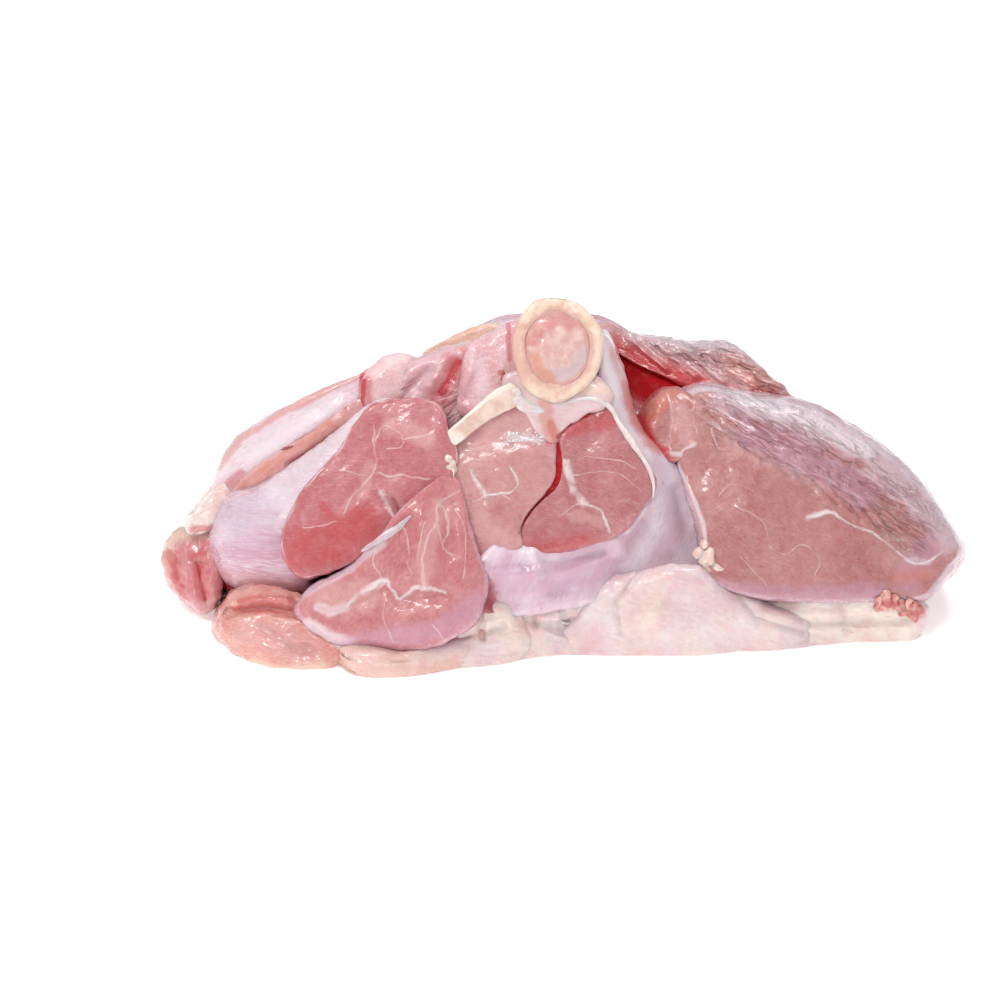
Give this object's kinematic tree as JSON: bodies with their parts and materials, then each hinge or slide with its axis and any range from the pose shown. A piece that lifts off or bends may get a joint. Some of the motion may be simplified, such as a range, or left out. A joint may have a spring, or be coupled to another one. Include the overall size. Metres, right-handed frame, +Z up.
{
  "type": "raw bone-in veal joint",
  "caption": "Raw bone-in joint of pale veal: lean muscles round a sawn marrow bone, the edge of a flat blade bone, and a layer of fat underneath.",
  "frame": {"origin": "middle of the footprint, on the surface that the joint lies on", "axes": "+X along the joint, to the right when the sawn face is seen from the front; +Y away from the sawn face, to the rear cut; +Z up"},
  "size_m": [0.3083, 0.1597, 0.1329],
  "materials": {
    "lean_meat": "moist raw pale veal, soft satin gloss, cut faces and silverskin",
    "bone": "sawn cream bone, slightly moist",
    "marrow": "soft moist pale pink marrow",
    "fat": "moist pale pink and cream fat"
  },
  "bodies": {
    "root": {"meat": "lean_meat", "marrow_bone": "bone", "marrow": "marrow", "blade_bone": "bone", "fat_layer": "fat"}
  },
  "joints": []
}
